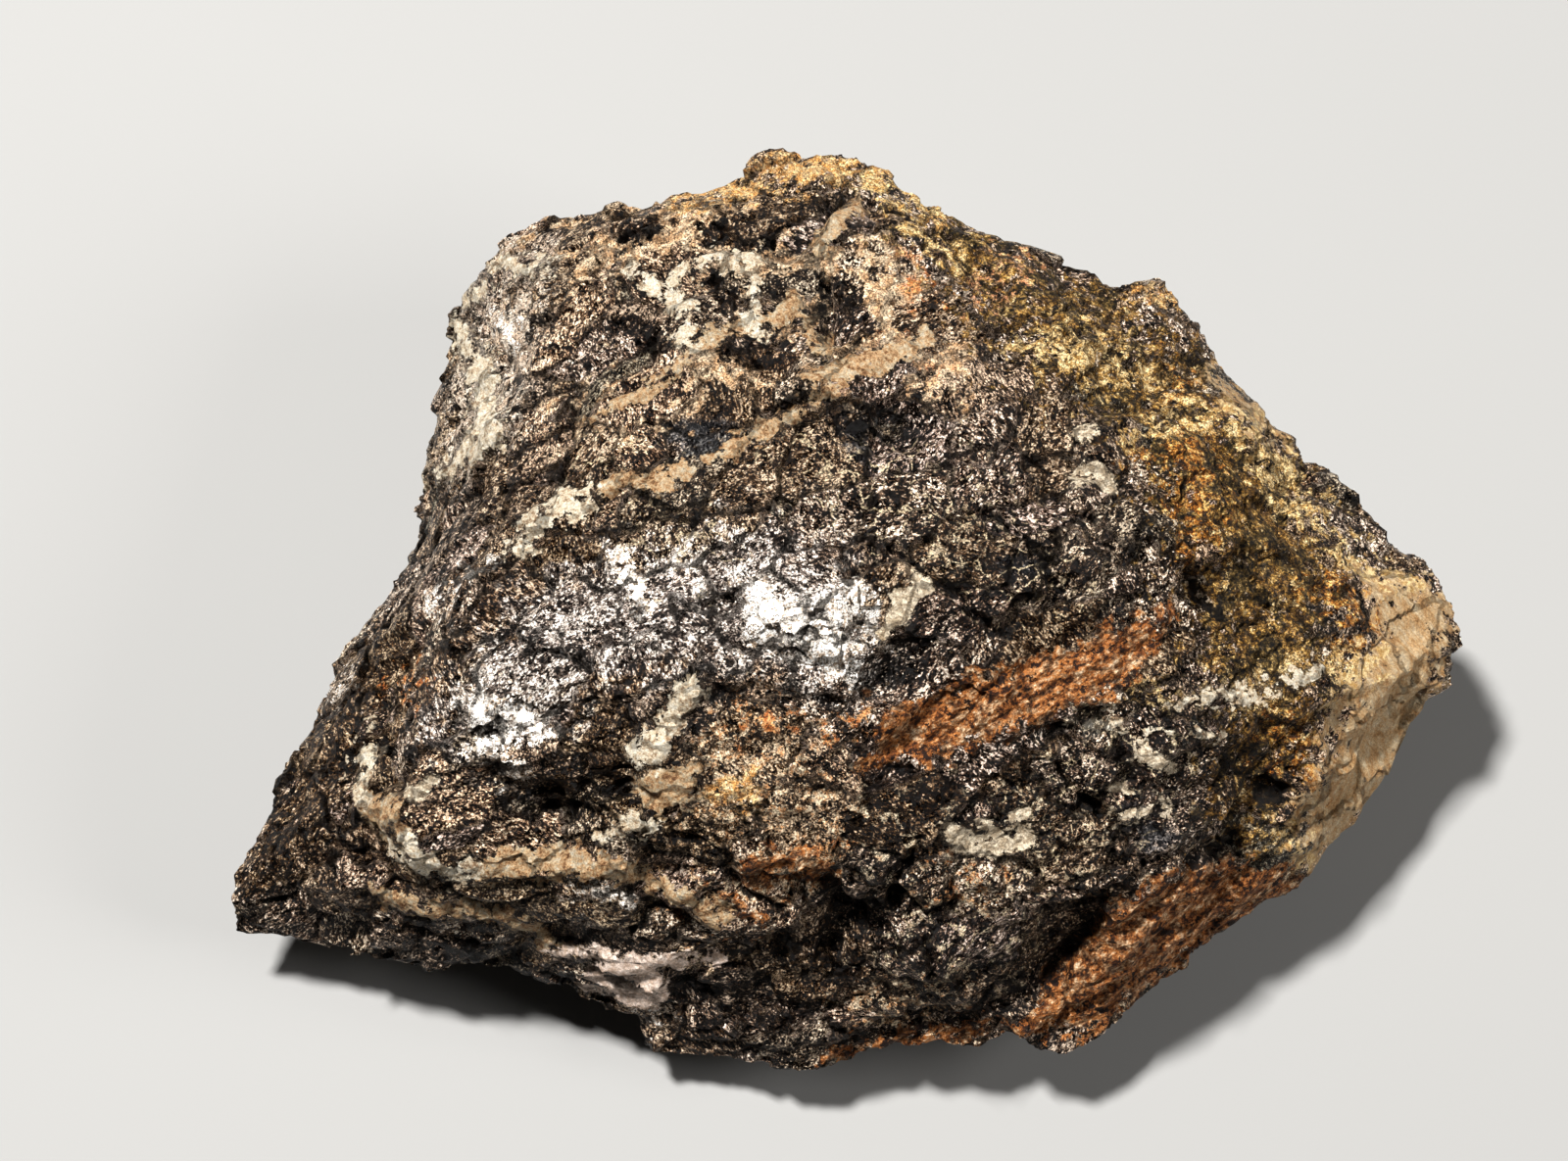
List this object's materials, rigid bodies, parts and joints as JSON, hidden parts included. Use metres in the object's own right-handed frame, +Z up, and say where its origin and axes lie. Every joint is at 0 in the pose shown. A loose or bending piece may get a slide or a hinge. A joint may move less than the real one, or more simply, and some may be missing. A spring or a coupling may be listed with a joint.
{
  "type": "sphalerite specimen",
  "caption": "Broken lump of massive dark sphalerite ore with cream and rust carbonate veins, lying on a flat break.",
  "frame": {"origin": "on the rest plane, under the middle of the stone's bounding box", "axes": "+Z up from the rest plane, +X along the stone's length towards the pale nose, +Y towards the tall rear wall"},
  "size_m": [0.144, 0.103, 0.055],
  "materials": {
    "ore": "dark brown to black cleavable ore with cream, rust and olive zones"
  },
  "bodies": {
    "root": {"sphalerite_specimen": "ore"}
  },
  "joints": []
}
